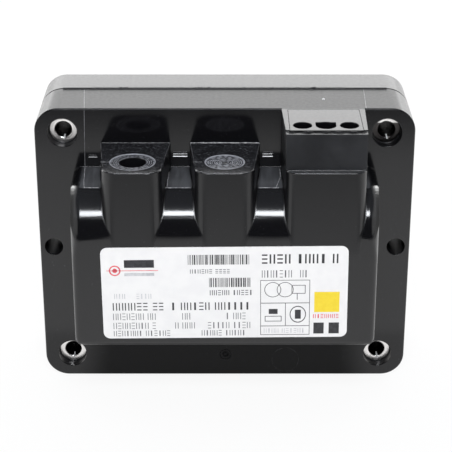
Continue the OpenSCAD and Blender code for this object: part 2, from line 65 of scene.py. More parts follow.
cad_bounds = plain(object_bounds())
MM = 0.001

# Camera at the photograph's viewing angle
CAMERA_AT = Vector((0.4, -508.7, 218.0)) * MM
CAMERA_AIM = Vector((0.4, -36.0, 7.7)) * MM

camera = bpy.data.objects.new("camera", bpy.data.cameras.new("camera"))
bpy.context.scene.collection.objects.link(camera)
camera.location = CAMERA_AT
camera.rotation_euler = (CAMERA_AIM - CAMERA_AT).to_track_quat("-Z", "Y").to_euler()
camera.data.lens = 120.98
camera.data.sensor_width = 36
camera.data.clip_start = 0.01
camera.data.clip_end = 30
bpy.context.scene.camera = camera
bpy.context.scene.view_settings.view_transform = "Standard"


# Places taken from the model: lengths in millimetres, reach forward of the
# flange's face, height above the lower edge
FLANGE_Y = -36.0
CASE_H = 100.0
SEAM_Y = -15.6
BARREL_R = 17.0
BARREL_REACH = 10.0
BARREL_H = 62.5
OUTLET_X = -29.7
MAINS_X = 32.4
HV_REACH = 17.4
HOOD_H = 88.0
POT_REACH = 27.0
HOODS = ((OUTLET_X, 11.6, 9.4, 4.5), (0.0, 11.6, 9.4, 4.5), (MAINS_X, 13.7, 12.8, 3.4))
FIX_X = 53.85
FIX_Z = 41.5
PARTING_X = 46.8
POT_HALF_BACK = 50.75
POT_TAPER = 1.0 / 27
SHOULDER_R = 3.2
PARTING_ANGLE = 69.5


def at(x, reach, height):
    """Row frame point in metres from the model's own measures."""
    return Vector((x, FLANGE_Y - reach, height - CASE_H / 2)) * MM


def barrel(x, angle, lift=0.0):
    """Point on the barrel at an angle above its front, lifted off the surface."""
    a = math.radians(angle)
    r = BARREL_R + lift
    return at(x, BARREL_REACH + r * math.cos(a), BARREL_H + r * math.sin(a))


# Materials

class Shader:
    """One material's node tree, with short calls for its usual nodes."""

    def __init__(self, name, color, roughness, metallic=0.0):
        self.material = bpy.data.materials.new(name)
        self.material.use_nodes = True
        self.tree = self.material.node_tree
        self.bsdf = self.tree.nodes["Principled BSDF"]
        self.bsdf.inputs["Base Color"].default_value = (*color, 1)
        self.bsdf.inputs["Roughness"].default_value = roughness
        self.bsdf.inputs["Metallic"].default_value = metallic
        coordinates = self.tree.nodes.new("ShaderNodeTexCoord")
        self.place = coordinates.outputs["Object"]
        split = self.tree.nodes.new("ShaderNodeSeparateXYZ")
        self.tree.links.new(self.place, split.inputs[0])
        self.x, self.y, self.z = split.outputs

    def put(self, value, socket):
        if isinstance(value, (int, float)):
            socket.default_value = value
        elif isinstance(value, tuple):
            socket.default_value = value
        else:
            self.tree.links.new(value, socket)

    def math(self, operation, a, b=0.0, clamp=False):
        node = self.tree.nodes.new("ShaderNodeMath")
        node.operation = operation
        node.use_clamp = clamp
        self.put(a, node.inputs[0])
        self.put(b, node.inputs[1])
        return node.outputs[0]

    def rise(self, value, low, high, start=0.0, end=1.0):
        """Goes smoothly from start to end as value goes from low to high."""
        node = self.tree.nodes.new("ShaderNodeMapRange")
        node.interpolation_type = "SMOOTHSTEP"
        self.put(value, node.inputs["Value"])
        node.inputs["From Min"].default_value = low
        node.inputs["From Max"].default_value = high
        node.inputs["To Min"].default_value = start
        node.inputs["To Max"].default_value = end
        return node.outputs["Result"]

    def band(self, value, low, high, soft):
        """1 between low and high, 0 elsewhere, with soft ends."""
        up = self.rise(value, low - soft, low + soft)
        down = self.rise(value, high - soft, high + soft, 1.0, 0.0)
        return self.math("MULTIPLY", up, down)

    def stretched(self, scale):
        node = self.tree.nodes.new("ShaderNodeMapping")
        node.inputs["Scale"].default_value = scale
        self.tree.links.new(self.place, node.inputs["Vector"])
        return node.outputs[0]

    def noise(self, scale, detail=3.0, vector=None, distortion=0.0):
        node = self.tree.nodes.new("ShaderNodeTexNoise")
        node.inputs["Scale"].default_value = scale
        node.inputs["Detail"].default_value = detail
        node.inputs["Distortion"].default_value = distortion
        self.tree.links.new(vector or self.place, node.inputs["Vector"])
        return node.outputs["Fac"]

    def mix(self, factor, a, b):
        node = self.tree.nodes.new("ShaderNodeMix")
        node.data_type = "RGBA"
        self.put(factor, node.inputs["Factor"])
        self.put((*a, 1) if isinstance(a, tuple) else a, node.inputs["A"])
        self.put((*b, 1) if isinstance(b, tuple) else b, node.inputs["B"])
        return node.outputs["Result"]

    def radius(self, x, y):
        """Distance in the X-Y plane from a point given in metres."""
        dx = self.math("SUBTRACT", self.x, x)
        dy = self.math("SUBTRACT", self.y, y)
        squares = self.math("ADD", self.math("MULTIPLY", dx, dx), self.math("MULTIPLY", dy, dy))
        return self.math("SQRT", squares)

    def within_hood(self, x, back_half, front_half, r):
        """1 on a hood's own sides and front, 0 on the barrel beside it."""
        reach = self.math("SUBTRACT", FLANGE_Y * MM, self.y)
        slope = (back_half - front_half) / POT_REACH
        half = self.math("SUBTRACT", (back_half - r) * MM, self.math("MULTIPLY", reach, slope))
        off = self.math("ABSOLUTE", self.math("SUBTRACT", self.x, x * MM))
        across = self.math("MAXIMUM", self.math("SUBTRACT", off, half), 0.0)
        ahead = self.math("MAXIMUM", self.math("SUBTRACT", reach, (POT_REACH - r) * MM), 0.0)
        squares = self.math("ADD", self.math("MULTIPLY", across, across), self.math("MULTIPLY", ahead, ahead))
        return self.rise(self.math("SQRT", squares), (r + 0.3) * MM, (r + 0.6) * MM, 1.0, 0.0)

    def finish(self, color=None, roughness=None, height=None, depth=0.0001, strength=1.0, edge=None,
               profile=None):
        if color is not None:
            self.tree.links.new(color, self.bsdf.inputs["Base Color"])
        if roughness is not None:
            self.tree.links.new(roughness, self.bsdf.inputs["Roughness"])
        normal = None
        if edge is not None:
            rounding = self.tree.nodes.new("ShaderNodeBevel")
            rounding.samples = 8
            self.put(edge, rounding.inputs["Radius"])
            normal = rounding.outputs[0]
        if profile is not None:
            rounded = self.tree.nodes.new("ShaderNodeBump")
            rounded.inputs["Strength"].default_value = 1.0
            rounded.inputs["Distance"].default_value = MM
            self.tree.links.new(profile, rounded.inputs["Height"])
            if normal is not None:
                self.tree.links.new(normal, rounded.inputs["Normal"])
            normal = rounded.outputs[0]
        if height is not None:
            bump = self.tree.nodes.new("ShaderNodeBump")
            bump.inputs["Strength"].default_value = strength
            bump.inputs["Distance"].default_value = depth
            self.tree.links.new(height, bump.inputs["Height"])
            if normal is not None:
                self.tree.links.new(normal, bump.inputs["Normal"])
            normal = bump.outputs[0]
        if normal is not None:
            self.tree.links.new(normal, self.bsdf.inputs["Normal"])
        return self.material


BLACK = (0.0046, 0.0046, 0.0055)
SCUFF_AND_SHEEN = (0.120, 0.125, 0.136)
WORN = (0.36, 0.37, 0.41)


def case_plastic(name, front):
    """Black moulded plastic, glossy on the barrel and satin on the hoods and on top. Painted sheen greys the
    band above the barrel's parting line and the mains block's front.
    """
    s = Shader(name, BLACK, 0.15)
    grain = s.noise(900, 4)
    cloud = s.noise(60, 3)
    fine = s.noise(5200, 2)
    on_top = s.rise(s.z, 0.0490, 0.0497)
    satin = s.math("MAXIMUM", on_top, s.rise(s.y, -0.0357, -0.0354))
    scuffed = s.rise(s.noise(1500, 4, s.stretched((0.25, 1.6, 1.0)), 1.2), 0.60, 0.74, 0.0, 0.5)
    scuffs_and_sheen = s.math("MULTIPLY", on_top, scuffed)
    height = s.math("MULTIPLY", fine, 0.12)
    height = s.math("ADD", height, s.math("MULTIPLY", grain, 0.25))
    if front:
        hoods = None
        for x, back_half, front_half, r in HOODS:
            part = s.within_hood(x, back_half, front_half, r)
            hoods = part if hoods is None else s.math("MAXIMUM", hoods, part)
        hoods = s.math("MULTIPLY", hoods, s.rise(s.z, 0.0060, 0.0120))
        hoods = s.math("MULTIPLY", hoods, s.rise(s.y, -0.0375, -0.0372, 1.0, 0.0))
        above = s.band(s.z, 0.02835, 0.0301, 0.00012)
        above = s.math("MULTIPLY", above, s.rise(s.y, -0.0366, -0.0363, 1.0, 0.0))
        inside = s.band(s.x, -0.0473, 0.0473, 0.0010)
        above = s.math("MULTIPLY", s.math("MULTIPLY", above, inside), s.math("SUBTRACT", 1.0, hoods))
        tops = s.band(s.z, HOOD_H * MM - 0.0503, HOOD_H * MM - 0.0498, 0.0001)
        ahead = s.rise(s.y, -0.0366, -0.0363, 1.0, 0.0)
        tops = s.math("MULTIPLY", tops, ahead)
        hoods_only = s.math("MULTIPLY", hoods, s.math("SUBTRACT", 1.0, tops))
        satin = s.math("MAXIMUM", satin, s.math("MAXIMUM", hoods_only, above))
        scratches = s.rise(s.noise(520, 6, s.stretched((1.0, 3.5, 1.0)), 2.6), 0.50, 0.76, 0.0, 0.30)
        worn = s.math("MULTIPLY", tops, scratches)
        for x, reach, flat_r, base in ((OUTLET_X, HV_REACH, 7.2, 0.08), (0.0, HV_REACH, 6.3, 0.25)):
            r = s.radius(x * MM, (FLANGE_Y - reach) * MM)
            inside = s.math("MULTIPLY", tops, s.rise(r, (flat_r - 0.15) * MM, flat_r * MM, 1.0, 0.0))
            wobble = s.math("ADD", s.math("MULTIPLY", r, 9000), s.math("MULTIPLY", cloud, 6))
            rings = s.rise(s.math("SINE", wobble), -0.2, 1.0, 0.0, 1.0)
            swirl = s.math("MULTIPLY", s.math("ADD", base, s.math("MULTIPLY", rings, 0.75)),
                           s.rise(grain, 0.40, 0.62, 0.3, 1.0))
            worn = s.math("MAXIMUM", worn, s.math("MULTIPLY", inside, s.math("MULTIPLY", swirl, 1.0)))
            edge = s.math("MULTIPLY", tops, s.band(r, (flat_r - 0.05) * MM, (flat_r + 0.2) * MM, 0.00008))
            worn = s.math("MAXIMUM", worn, edge)
            height = s.math("ADD", height, s.math("MULTIPLY", inside, s.math("MULTIPLY", rings, 0.5)))
        scuffs_and_sheen = s.math("MAXIMUM", scuffs_and_sheen, worn)
        # Painted sheen with real streaks: the band above the barrel's parting line is lifted towards grey, in
        # streaks.
        streaked_sheen = s.rise(s.noise(300, 3, s.stretched((3.0, 0.3, 0.3))), 0.40, 0.66, 0.38, 0.62)
        scuffs_and_sheen = s.math("MAXIMUM", scuffs_and_sheen, s.math("MULTIPLY", above, streaked_sheen))
        # Painted sheen: the mains block's front is lifted a little towards grey.
        block = s.math("MULTIPLY", s.band(s.z, 0.0380, 0.0495, 0.0002), ahead)
        scuffs_and_sheen = s.math("MAXIMUM", scuffs_and_sheen, s.math("MULTIPLY", block, s.rise(cloud, 0.35, 0.65, 0.08, 0.15)))
        glossy_barrel = s.math("MULTIPLY", s.band(s.z, 0.0215, 0.02835, 0.0006), ahead)
        glossy_barrel = s.math("MULTIPLY", glossy_barrel, s.math("SUBTRACT", 1.0, hoods))
        scuffs_and_sheen = s.math("MAXIMUM", scuffs_and_sheen, s.math("MULTIPLY", glossy_barrel, 0.09))
    dust = s.rise(s.noise(2600, 2), 0.735, 0.78, 0.0, 0.8)
    scuffs_and_sheen = s.math("MAXIMUM", scuffs_and_sheen, dust)
    gloss = s.math("ADD", 0.06, s.math("MULTIPLY", cloud, 0.10))
    matt = s.math("ADD", 0.24, s.math("MULTIPLY", grain, 0.16))
    blend = s.tree.nodes.new("ShaderNodeMix")
    s.put(satin, blend.inputs["Factor"])
    s.put(gloss, blend.inputs["A"])
    s.put(matt, blend.inputs["B"])
    roughness = s.math("ADD", blend.outputs["Result"], s.math("MULTIPLY", scuffs_and_sheen, 0.35), clamp=True)
    color = s.mix(scuffs_and_sheen, BLACK, SCUFF_AND_SHEEN)
    if front:
        color = s.mix(worn, color, WORN)
    edge = 0.0003
    profile = None
    if front:
        wide = s.math("ABSOLUTE", s.x)
        pot = s.math("MULTIPLY", s.rise(s.y, -0.0385, -0.0375, 1.0, 0.0), s.band(s.z, -0.026, 0.0302, 0.0003))
        sides = s.rise(wide, 0.0462, 0.0468)
        reach = s.math("SUBTRACT", FLANGE_Y * MM, s.y)
        side = s.math("SUBTRACT", (POT_HALF_BACK - SHOULDER_R) * MM, s.math("MULTIPLY", reach, POT_TAPER))
        in_fillet = s.math("DIVIDE", s.math("SUBTRACT", wide, side), SHOULDER_R * MM)
        in_fillet = s.math("MINIMUM", s.math("MAXIMUM", in_fillet, 0.0), 0.95)
        drop = s.math("SQRT", s.math("SUBTRACT", 1.0, s.math("MULTIPLY", in_fillet, in_fillet)))
        drop = s.math("MULTIPLY", s.math("SUBTRACT", drop, 1.0), SHOULDER_R)
        profile = s.math("MULTIPLY", drop, s.math("MULTIPLY", ahead, s.rise(s.z, 0.006, 0.020)))
        bottom = s.rise(s.z, -0.0225, -0.0220, 1.0, 0.0)
        wider = s.math("MULTIPLY", pot, s.math("MAXIMUM", sides, bottom))
        edge = s.math("ADD", 0.0003, s.math("MULTIPLY", wider, 0.0020))
        top = s.math("MULTIPLY", s.rise(s.z, 0.0490, 0.0497, 0.0, 0.15), s.math("SUBTRACT", 1.0, ahead))
        roughness = s.math("ADD", roughness, top, clamp=True)
    return s.finish(color, roughness, height, 0.00004, 0.35, edge, profile)


def simple(name, color, other, roughness, spread, scale, metallic=0.0, depth=0.00003, edge=None, stretch=None):
    """A finish whose colour and gloss vary with one noise."""
    s = Shader(name, color, roughness, metallic)
    vector = s.stretched(stretch) if stretch else None
    cloud = s.noise(scale, 4, vector)
    fine = s.noise(scale * 6, 3, vector)
    mixed = s.mix(s.rise(cloud, 0.35, 0.65), color, other)
    varied = s.math("ADD", roughness - spread / 2, s.math("MULTIPLY", cloud, spread))
    return s.finish(mixed, varied, fine, depth, 0.4, edge)


def turned_metal(name, color, dark, roughness, edge, bores=False):
    """Plated or turned metal with fine marks and a little grime, and for the eyelets painted shade inside
    their bores and on the upper right eyelet's ring below its top.
    """
    s = Shader(name, color, roughness, 1.0)
    cloud = s.noise(500, 4, distortion=0.8)
    marks = s.noise(1800, 3, s.stretched((1.0, 0.4, 1.0)))
    grime_and_shade = s.rise(cloud, 0.60, 0.74, 0.0, 0.6)
    if bores:
        # Painted shade: the eyelets' bores are darkened.
        dx = s.math("SUBTRACT", s.math("ABSOLUTE", s.x), FIX_X * MM)
        dz = s.math("SUBTRACT", s.math("ABSOLUTE", s.z), FIX_Z * MM)
        r = s.math("SQRT", s.math("ADD", s.math("MULTIPLY", dx, dx), s.math("MULTIPLY", dz, dz)))
        bore_shade = s.rise(r, 0.0027, 0.0030, 1.0, 0.0)
        grime_and_shade = s.math("MAXIMUM", grime_and_shade, bore_shade)
        # Painted shade: the upper right eyelet's ring is darkened below its top.
        upper_right_shade = s.math("MULTIPLY", s.rise(s.x, 0.0, 0.01), s.rise(s.z, 0.0436, 0.0441, 1.0, 0.0))
        upper_right_shade = s.math("MULTIPLY", upper_right_shade, s.rise(s.z, 0.0, 0.01))
        upper_right_shade = s.math("MULTIPLY", upper_right_shade, s.rise(s.y, -0.031, -0.030, 1.0, 0.0))
        grime_and_shade = s.math("MAXIMUM", grime_and_shade, s.math("MULTIPLY", upper_right_shade, 0.96))
    color_mix = s.mix(grime_and_shade, color, dark)
    varied = s.math("ADD", roughness, s.math("MULTIPLY", marks, 0.10))
    return s.finish(color_mix, varied, marks, 0.00001, 0.3, edge)


def sealing_resin(name, left, right, specular):
    """Rough dark resin between left and right, and flush and smooth like the case beyond."""
    s = Shader(name, BLACK, 0.4)
    beyond = s.math("SUBTRACT", 1.0, s.band(s.x, left * MM, right * MM, 0.0002))
    rough = s.math("SUBTRACT", 1.0, beyond)
    cloud = s.noise(1400, 4)
    varied = s.math("ADD", 0.22, s.math("MULTIPLY", cloud, 0.4))
    blend = s.tree.nodes.new("ShaderNodeMix")
    s.put(beyond, blend.inputs["Factor"])
    s.put(varied, blend.inputs["A"])
    s.put(0.33, blend.inputs["B"])
    color = s.mix(s.math("MULTIPLY", rough, s.rise(cloud, 0.35, 0.65)), BLACK, (0.024, 0.024, 0.026))
    s.bsdf.inputs["Specular IOR Level"].default_value = specular
    height = s.math("MULTIPLY", s.noise(8400, 3), rough)
    return s.finish(color, blend.outputs["Result"], height, 0.0002, 0.4)


materials = {
    "case": case_plastic("case_front", True),
    "case_back": case_plastic("case_back", False),
    "insert": case_plastic("insert_plastic", False),
    "sealant": sealing_resin("sealing_resin", -45.6, 41.2, 0.5),
    "bead": sealing_resin("resin_bead", -70, 70, 0.15),
    "label": simple("label_film", (0.82, 0.81, 0.80), (0.79, 0.78, 0.775), 0.34, 0.08, 240, depth=0.00001),
    "eyelet": turned_metal("nickel_plate", (0.90, 0.88, 0.87), (0.035, 0.031, 0.031), 0.20, 0.0002, True),
    "contact": turned_metal("brass", (0.74, 0.55, 0.27), (0.45, 0.32, 0.15), 0.25, 0.0002),
    "core": simple("electrical_steel", (0.30, 0.31, 0.32), (0.22, 0.23, 0.24), 0.38, 0.2, 300, 1.0,
                   stretch=(1, 12, 1)),
    "rivet": turned_metal("steel", (0.5, 0.5, 0.5), (0.3, 0.3, 0.3), 0.3, 0.0002),
    "bobbin": simple("bobbin_plastic", (0.66, 0.62, 0.50), (0.60, 0.56, 0.45), 0.45, 0.1, 300),
    "winding": simple("enamelled_wire", (0.50, 0.20, 0.08), (0.34, 0.12, 0.05), 0.28, 0.1, 900, 0.7,
                      depth=0.0001, stretch=(6, 1, 1)),
    "lead_brown": simple("lead_brown", (0.12, 0.055, 0.03), (0.10, 0.045, 0.025), 0.4, 0.1, 900),
    "lead_blue": simple("lead_blue", (0.03, 0.07, 0.30), (0.025, 0.06, 0.26), 0.4, 0.1, 900),
    "lead_green": simple("lead_green", (0.05, 0.22, 0.05), (0.04, 0.18, 0.04), 0.4, 0.1, 900),
    "lead_white": simple("lead_white", (0.65, 0.65, 0.64), (0.58, 0.58, 0.56), 0.4, 0.1, 900),
    "resin": simple("casting_resin", (0.008, 0.008, 0.009), (0.014, 0.014, 0.015), 0.35, 0.2, 200),
    "parting": simple("parting", (0.16, 0.16, 0.168), (0.08, 0.08, 0.085), 0.35, 0.2, 1500),
    "flash": simple("flash", (0.54, 0.54, 0.56), (0.19, 0.19, 0.20), 0.35, 0.2, 1500),
    "soft_ink": simple("soft_ink", (0.072, 0.072, 0.08), (0.128, 0.128, 0.136), 0.40, 0.1, 800),
    "ink": simple("black_ink", (0.014, 0.014, 0.017), (0.03, 0.03, 0.035), 0.40, 0.1, 800),
    "grey_ink": simple("grey_ink", (0.47, 0.47, 0.49), (0.60, 0.60, 0.61), 0.42, 0.1, 800),
    "red_ink": simple("red_ink", (0.71, 0.08, 0.11), (0.76, 0.16, 0.17), 0.40, 0.1, 800),
    "yellow_ink": simple("yellow_ink", (0.82, 0.61, 0.02), (0.85, 0.65, 0.03), 0.40, 0.1, 800),
    # Pale finish for the flake on the case's top and for the painted highlights in the eyelets' bores.
    "speck_and_highlight": simple("speck_and_highlight", (0.75, 0.75, 0.76), (0.6, 0.6, 0.6), 0.5, 0.1, 900),
}


# The solids keep their shape: they are welded, smoothed and given their finish

def smoothing_group(limit):
    """Geometry nodes that shade smooth except at edges sharper than the limit."""
    group = bpy.data.node_groups.new("smooth_by_angle", "GeometryNodeTree")
    group.interface.new_socket("Geometry", in_out="INPUT", socket_type="NodeSocketGeometry")
    group.interface.new_socket("Geometry", in_out="OUTPUT", socket_type="NodeSocketGeometry")
    start = group.nodes.new("NodeGroupInput")
    end = group.nodes.new("NodeGroupOutput")
    angle = group.nodes.new("GeometryNodeInputMeshEdgeAngle")
    compare = group.nodes.new("FunctionNodeCompare")
    compare.data_type = "FLOAT"
    compare.operation = "GREATER_THAN"
    compare.inputs["B"].default_value = math.radians(limit)
    faces = group.nodes.new("GeometryNodeSetShadeSmooth")
    faces.domain = "FACE"
    edges = group.nodes.new("GeometryNodeSetShadeSmooth")
    edges.domain = "EDGE"
    edges.inputs["Shade Smooth"].default_value = False
    group.links.new(angle.outputs["Unsigned Angle"], compare.inputs["A"])
    group.links.new(start.outputs[0], faces.inputs["Geometry"])
    group.links.new(faces.outputs[0], edges.inputs["Geometry"])
    group.links.new(compare.outputs[0], edges.inputs["Selection"])
    group.links.new(edges.outputs[0], end.inputs[0])
    return group


SMOOTH = smoothing_group(28)


def smooth(piece, weld=False):
    if weld:
        piece.modifiers.new("weld", "WELD").merge_threshold = 0.000002
    piece.modifiers.new("smooth", "NODES").node_group = SMOOTH


slots = {s["node"]: s["material_slot"] for s in frame["record"]["subparts"]}
for name, solid in nodes.items():
    finish = "case_back" if name == "back_shell" else slots[name]
    solid.data.materials.clear()
    solid.data.materials.append(materials[finish])
    old = solid.data.attributes.get("custom_normal")
    if old:
        solid.data.attributes.remove(old)
    smooth(solid, weld=True)


# Extra pieces

def add(name, points, faces, finish, body="root"):
    """A new piece from points in metres, riding on the body."""
    mesh = bpy.data.meshes.new(name)
    mesh.from_pydata([tuple(p) for p in points], [], faces)
    mesh.validate()
    mesh.update()
    piece = bpy.data.objects.new(name, mesh)
    bpy.context.scene.collection.objects.link(piece)
    mesh.materials.append(materials[finish])
    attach(piece, body)
    return piece


def strip(path, ups, widths, heights, sides=2, closed=False):
    """Points and faces of a low ridge along a path: a flat underside and an arched top."""
    points = []
    faces = []
    count = len(path)
    ring = 2 * sides + 1
    for i, (p, up, w, h) in enumerate(zip(path, ups, widths, heights)):
        before = path[(i - 1) % count] if closed or i else path[0]
        after = path[(i + 1) % count] if closed or i < count - 1 else path[-1]
        along = (after - before).normalized()
        side = along.cross(up).normalized()
        for k in range(ring):
            a = math.pi * k / (ring - 1)
            points.append(p + side * (math.cos(a) * w / 2) + up * (math.sin(a) * h - 0.00002))
    last = count if closed else count - 1
    for i in range(last):
        j = (i + 1) % count
        for k in range(ring):
            n = (k + 1) % ring
            faces.append((i * ring + k, j * ring + k, j * ring + n, i * ring + n))
    if not closed:
        faces.append(tuple(range(ring)))
        faces.append(tuple(reversed(range((count - 1) * ring, count * ring))))
    return points, faces


def ridge(name, path, ups, width, height, finish, seed=1, rough=0.25):
    """A thin raised line, slightly uneven."""
    rng = random.Random(seed)
    fine_path = []
    fine_ups = []
    for i in range(len(path) - 1):
        count = max(1, int((path[i + 1] - path[i]).length / 0.0008))
        for k in range(count):
            t = k / count
            fine_path.append(path[i].lerp(path[i + 1], t))
            fine_ups.append(ups[i].lerp(ups[i + 1], t).normalized())
    fine_path.append(path[-1])
    fine_ups.append(ups[-1])
    widths = [width * rng.uniform(1 - rough, 1 + rough) for _ in fine_path]
    heights = [height * rng.uniform(1 - rough, 1 + rough) for _ in fine_path]
    points, faces = strip(fine_path, fine_ups, widths, heights)
    piece = add(name, points, faces, finish)
    smooth(piece)
    return piece


UP = Vector((0, 0, 1))
FRONT = Vector((0, -1, 0))


def barrel_up(angle):
    a = math.radians(angle)
    return Vector((0, -math.cos(a), math.sin(a)))


def parting_line(name, back, front, low, seed):
    """Line left by the mould's slider: over the case's top and down to the barrel."""
    path = [at(back, -19.2, CASE_H), at(front, -0.6, CASE_H), at(front, -0.15, CASE_H - 0.15),
            at(front, 0, CASE_H - 0.6), at(low, 0, 79.4)]
    ups = [UP, UP, (UP + FRONT).normalized(), FRONT, FRONT]
    return ridge(name, path, ups, 0.00022, 0.00007, "parting", seed)


parting_line("parting_left", -47.9, -46.35, -PARTING_X, 3)
ridge("parting_right", [at(47.3, -19.2, CASE_H), at(46.6, -0.4, CASE_H)], [UP, UP],
      0.00022, 0.00007, "parting", 4)

top_angles = [90, 84, 78, 73, PARTING_ANGLE]
ridge("parting_left_pot",
      [at(-PARTING_X, 0.2, 79.42), at(-46.2, BARREL_REACH, 79.46)]
      + [barrel(-46.2 + 0.15 * k, a, -0.03) for k, a in enumerate(top_angles[1:])],
      [UP, UP] + [barrel_up(a) for a in top_angles[1:]], 0.00026, 0.00015, "flash", 5)
for name, low, high, seed in (("parting_pot_left", -45.8, -40.9, 6),
                              ("parting_pot_middle", -19.4, -11.0, 7),
                              ("parting_pot_right", 11.0, 17.6, 8)):
    ridge(name, [barrel(low, PARTING_ANGLE), barrel(high, PARTING_ANGLE)],
          [barrel_up(PARTING_ANGLE)] * 2, 0.00026, 0.00009, "flash", seed)
ridge("parting_hood_side",
      [at(-18.45, 5.0, 79.5), at(-18.55, BARREL_REACH, 79.5)]
      + [barrel(-18.75, a) for a in top_angles[1:]],
      [UP, UP] + [barrel_up(a) for a in top_angles[1:]], 0.00024, 0.0001, "flash", 9)
ridge("parting_mains_side",
      [at(18.35, 2.0, 79.5), at(18.35, 8.0, 79.5)] + [barrel(18.3 - 1.6 * t, 90 - 20.5 * t) for t in
                                                      (0.2, 0.4, 0.6, 0.8, 1.0)],
      [UP, UP] + [barrel_up(90 - 20.5 * t) for t in (0.2, 0.4, 0.6, 0.8, 1.0)],
      0.00024, 0.0001, "flash", 10)


def bead(name, points_up, width, height, seed, thick_at=None, wander=0.0002, finish="bead"):
    """Squeezed-out resin: a rough rope of changing width and height on a straight line."""
    rng = random.Random(seed)
    (start, end, up) = points_up
    count = int((end - start).length / 0.0004)
    path = []
    widths = []
    heights = []
    slow = [rng.uniform(0.3, 1.25) for _ in range(count // 5 + 3)]
    side = (end - start).cross(up).normalized()
    for i in range(count + 1):
        t = i / count
        k = i / 5
        base = slow[int(k)] * (1 - k % 1) + slow[int(k) + 1] * (k % 1)
        swell = 1.0
        if thick_at:
            swell += 0.45 * math.exp(-((t - thick_at) / 0.05) ** 2)
        taper = min(1, 12 * t + 0.35, 12 * (1 - t) + 0.35)
        path.append(start.lerp(end, t) + side * rng.uniform(-wander, wander))
        widths.append(width * base * swell * taper * rng.uniform(0.8, 1.2))
        heights.append(height * min(1.0, base * swell * taper) * rng.uniform(0.7, 1.0))
    points, faces = strip(path, [up] * len(path), widths, heights, 3)
    piece = add(name, points, faces, finish)
    smooth(piece)
    return piece


seam_z = CASE_H / 2 - 0.05
bead("seam_bead_rough", (Vector((-45.6, SEAM_Y, seam_z)) * MM, Vector((41.2, SEAM_Y, seam_z)) * MM, UP),
     0.0016, 0.0007, 21, thick_at=0.82, wander=0.0003)
bead("insert_resin", (at(MAINS_X - 12.2, 21.4, 99.62), at(MAINS_X + 12.2, 21.4, 99.62), UP),
     0.0008, 0.00045, 22, wander=0.00015)

def hood_outline(x, back_half, front_half, r):
    """Plan of a hood's top from its back left corner round the front, with its outward directions."""
    front = POT_REACH
    points = [(-back_half, 0.4)]
    outward = [(-1, 0)]
    for side in (-1, 1):
        for k in range(7):
            a = math.radians(90 * k / 6)
            if side < 0:
                points.append((-front_half + r - r * math.cos(a), front - r + r * math.sin(a)))
                outward.append((-math.cos(a), math.sin(a)))
            else:
                points.append((front_half - r + r * math.sin(a), front - r + r * math.cos(a)))
                outward.append((math.sin(a), math.cos(a)))
    points.append((back_half, 0.4))
    outward.append((1, 0))
    path = [at(x + px * 0.994, reach - 0.06, HOOD_H - 0.06) for px, reach in points]
    ups = [Vector((ox, -oy, 1.2)).normalized() for ox, oy in outward]
    return path, ups


for i, (hood, width) in enumerate(((HOODS[0], 0.00017), (HOODS[1], 0.00015))):
    path, ups = hood_outline(*hood)
    ridge("hood_edge_%d" % (i + 1), path, ups, width, 0.00006, "parting", 71 + i, 0.7)
ridge("hood_back_1", [at(OUTLET_X - 11.4, 0.1, HOOD_H), at(OUTLET_X + 11.4, 0.1, HOOD_H)], [UP, UP],
      0.00035, 0.00012, "parting", 73, 0.8)
ridge("hood_back_2", [at(-11.4, 0.1, HOOD_H), at(11.4, 0.1, HOOD_H)], [UP, UP],
      0.00045, 0.00016, "flash", 74, 0.5)
for i, (x, half) in enumerate(((OUTLET_X, 11.0), (0.0, 11.0))):
    ridge("hood_line_%d" % (i + 1), [at(x - half + 0.7, 17.4, HOOD_H), at(x - 7.4, 17.4, HOOD_H)], [UP, UP],
          0.0002, 0.00006, "flash", 75 + i, 0.8)


def flange_step(name, left, right, levels, tilt):
    """Small sloped steps on the flange between the hoods."""
    points = []
    faces = []
    for low, high in levels:
        first = len(points)
        depth = (high - low) * math.tan(math.radians(tilt))
        profile = [(0, high), (depth * 0.5 + 0.02, (low + high) / 2), (depth, low), (-0.02, low - 0.1),
                   (-0.02, high)]
        for x in (left, right):
            points.extend(at(x, reach, h) for reach, h in profile)
        n = len(profile)
        for i in range(n):
            j = (i + 1) % n
            faces.append((first + i, first + n + i, first + n + j, first + j))
        faces.append(tuple(first + i for i in range(n)))
        faces.append(tuple(first + n + i for i in reversed(range(n))))
    return add(name, points, faces, "case")


flange_step("flange_step_middle", -17.4, -12.4, ((83.0, 83.65), (83.9, 84.4), (84.65, 84.9)), 36)
flange_step("flange_step_right", 12.5, 16.1, ((83.0, 83.65), (83.9, 84.4), (84.65, 84.9)), 36)
flange_step("flange_step_left", -45.6, -42.5, ((82.6, 83.2), (83.5, 83.8)), 31)


# Painted highlights: pale strips low in the front of each eyelet's bore stand in for the light caught there.
for i, (side, level) in enumerate(((-1, 1), (1, 1), (-1, -1), (1, -1))):
    low = Vector((side * FIX_X + 0.25, FLANGE_Y + 1.4, level * FIX_Z - 2.6)) * MM
    ridge("bore_painted_highlight_%d" % (i + 1), [low, low + Vector((0, 0.0045, 0))], [UP, UP], 0.0005, 0.0001,
          "speck_and_highlight", 61 + i, 0.4)


def ring_mark(name, centre, radius, width, height, finish, seed):
    """A raised circle on the flange's face."""
    count = 72
    path = []
    for i in range(count):
        a = 2 * math.pi * i / count
        path.append(centre + Vector((math.cos(a), 0, math.sin(a))) * radius)
    rng = random.Random(seed)
    widths = [width * rng.uniform(0.7, 1.2) for _ in path]
    heights = [height * rng.uniform(0.6, 1.0) for _ in path]
    points, faces = strip(path, [FRONT] * count, widths, heights, 2, True)
    piece = add(name, points, faces, finish)
    smooth(piece)
    return piece


ring_mark("ejector_mark", at(21.4, 0, 5.9), 0.0047, 0.00010, 0.00003, "parting", 31)
ring_mark("gate_ring", at(0.2, 0, 8.0), 0.0019, 0.0005, 0.00022, "bead", 32)
ring_mark("gate_mark", at(0.2, 0, 8.0), 0.0008, 0.0009, 0.00035, "bead", 33)


